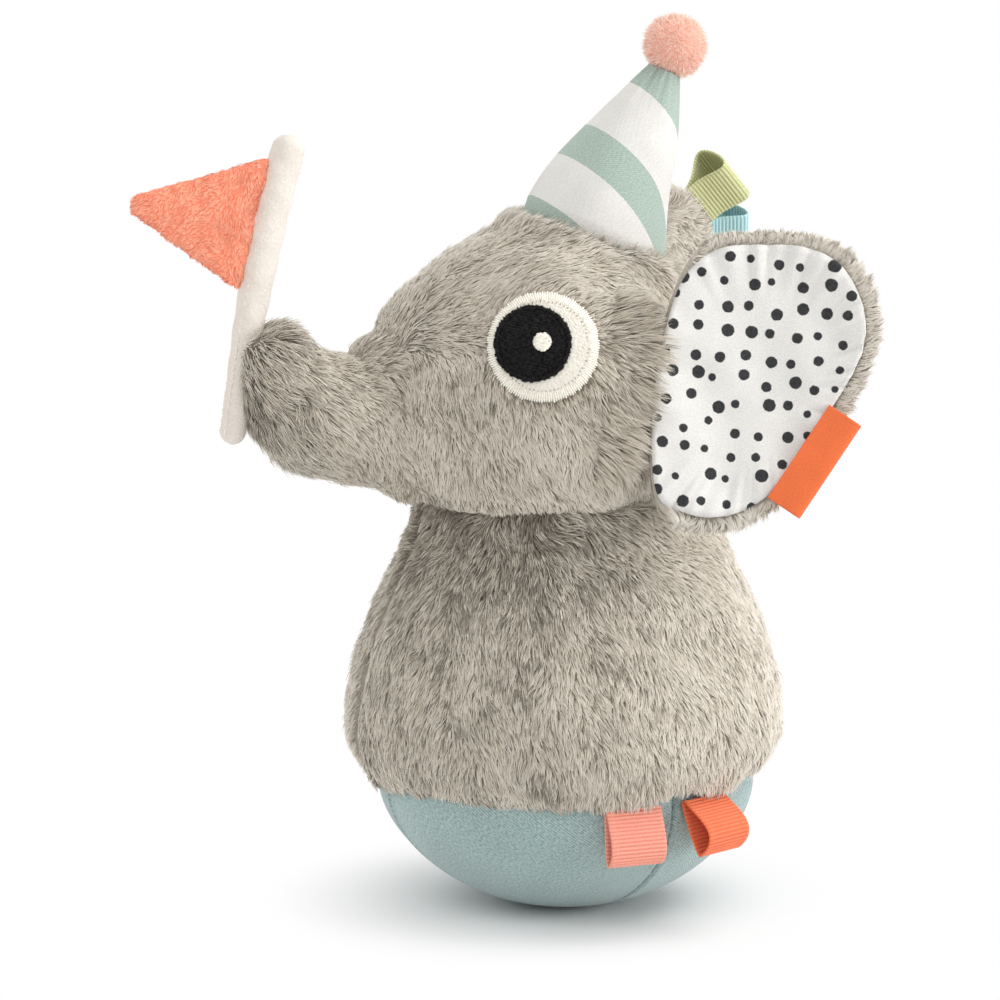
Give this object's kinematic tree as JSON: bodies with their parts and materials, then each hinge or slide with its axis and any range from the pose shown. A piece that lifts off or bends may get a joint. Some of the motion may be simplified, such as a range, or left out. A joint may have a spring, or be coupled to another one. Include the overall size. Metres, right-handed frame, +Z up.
{
  "type": "activity soft toy",
  "caption": "Plush elephant tumbler toy: weighted round cotton base with a chime, floppy dotted ears, raised trunk holding a flag, party hat, ribbon loops to pull.",
  "frame": {"origin": "middle of the flat that the base rests on", "axes": "+Z up, the animal faces -Y, its left side is +X"},
  "size_m": [0.1272, 0.1959, 0.2299],
  "materials": {
    "grey_plush": "long-pile plush",
    "teal_cotton": "woven cotton",
    "white_cotton": "woven cotton with printed dots",
    "striped_cotton": "woven cotton, sage and white stripes",
    "peach_plush": "short-pile plush",
    "cream_velour": "velour",
    "coral_plush": "short-pile plush",
    "cream_felt": "felt",
    "black_thread": "satin-stitch embroidery",
    "salmon_ribbon": "grosgrain ribbon",
    "orange_ribbon": "grosgrain ribbon",
    "green_ribbon": "grosgrain ribbon",
    "blue_ribbon": "grosgrain ribbon",
    "orange_tape": "woven tape",
    "fibre_filling": "fibre",
    "crackle_film": "thin film",
    "white_plastic": "moulded",
    "grey_iron": "as cast",
    "bright_steel": "drawn",
    "blue_plastic": "moulded"
  },
  "bodies": {
    "toy": {"base_cover": "teal_cotton", "body_cover": "grey_plush", "body_filling": "fibre_filling", "chime_plate": "white_plastic", "chime_rod_1": "bright_steel", "chime_rod_2": "bright_steel", "chime_rod_3": "bright_steel", "chime_rod_4": "bright_steel", "counterweight": "grey_iron", "eye_left_felt": "cream_felt", "eye_left_glint": "cream_felt", "eye_left_pupil": "black_thread", "eye_right_felt": "cream_felt", "eye_right_glint": "cream_felt", "eye_right_pupil": "black_thread", "flag_pole": "cream_velour", "hat_cone": "striped_cotton", "hat_filling": "fibre_filling", "head_cover": "grey_plush", "head_filling": "fibre_filling", "pompom": "peach_plush", "trunk": "grey_plush", "tumbler_bowl": "white_plastic", "tumbler_lid": "white_plastic"},
    "ear_left": {"ear_left_back": "grey_plush", "ear_left_film": "crackle_film", "ear_left_front": "white_cotton"},
    "ear_right": {"ear_right_back": "grey_plush", "ear_right_film": "crackle_film", "ear_right_front": "white_cotton"},
    "ear_tag": {"ear_tag": "orange_tape"},
    "ear_loop_green": {"ear_loop_green": "green_ribbon"},
    "ear_loop_blue": {"ear_loop_blue": "blue_ribbon"},
    "base_loop_salmon": {"base_loop_salmon": "salmon_ribbon"},
    "base_loop_orange": {"base_loop_orange": "orange_ribbon"},
    "pennant": {"flag_pennant": "coral_plush"},
    "striker_link": {"striker_link": "bright_steel"},
    "striker": {"striker": "blue_plastic"}
  },
  "joints": [
    {"name": "ear_left_flap", "type": "hinge", "parent": "toy", "child": "ear_left", "pos_m": [0.04001, 0.00811, 0.14383], "axis": [0.1842, -0.1842, -0.9655], "range_deg": [-12, 55], "stiffness_Nm_per_rad": 0.02},
    {"name": "ear_right_flap", "type": "hinge", "parent": "toy", "child": "ear_right", "pos_m": [-0.04001, 0.00811, 0.14383], "axis": [0.1842, 0.1842, 0.9655], "range_deg": [-12, 55], "stiffness_Nm_per_rad": 0.02},
    {"name": "ear_tag_flap", "type": "hinge", "parent": "ear_left", "child": "ear_tag", "pos_m": [0.05761, 0.04032, 0.12544], "axis": [-0.0054, -0.5914, -0.8063], "range_deg": [0, 70], "stiffness_Nm_per_rad": 0.002},
    {"name": "ear_loop_green_flap", "type": "hinge", "parent": "ear_right", "child": "ear_loop_green", "pos_m": [-0.04871, 0.05653, 0.17377], "axis": [-0.4043, 0.6526, -0.6408], "range_deg": [-30, 30], "stiffness_Nm_per_rad": 0.002},
    {"name": "ear_loop_blue_flap", "type": "hinge", "parent": "ear_right", "child": "ear_loop_blue", "pos_m": [-0.05507, 0.06211, 0.16077], "axis": [-0.2899, 0.1174, -0.9498], "range_deg": [-30, 30], "stiffness_Nm_per_rad": 0.002},
    {"name": "base_loop_salmon_flap", "type": "hinge", "parent": "toy", "child": "base_loop_salmon", "pos_m": [0.05009, 0.00087, 0.0338], "axis": [0.0175, -0.9998, 0], "range_deg": [0, 40], "stiffness_Nm_per_rad": 0.002},
    {"name": "base_loop_orange_flap", "type": "hinge", "parent": "toy", "child": "base_loop_orange", "pos_m": [0.04503, 0.02196, 0.0338], "axis": [0.4384, -0.8988, 0], "range_deg": [-15, 25], "stiffness_Nm_per_rad": 0.002},
    {"name": "pennant_flap", "type": "hinge", "parent": "toy", "child": "pennant", "pos_m": [0, -0.08395, 0.18145], "axis": [0, 0.2435, 0.9699], "range_deg": [-40, 40], "stiffness_Nm_per_rad": 0.006},
    {"name": "striker_link_swing", "type": "hinge", "parent": "toy", "child": "striker_link", "pos_m": [0, 0, 0.06285], "axis": [1, 0, 0], "range_deg": [-20, 20]},
    {"name": "striker_swing", "type": "hinge", "parent": "striker_link", "child": "striker", "pos_m": [0, 0, 0.05755], "axis": [0, 1, 0], "range_deg": [-20, 20]}
  ]
}
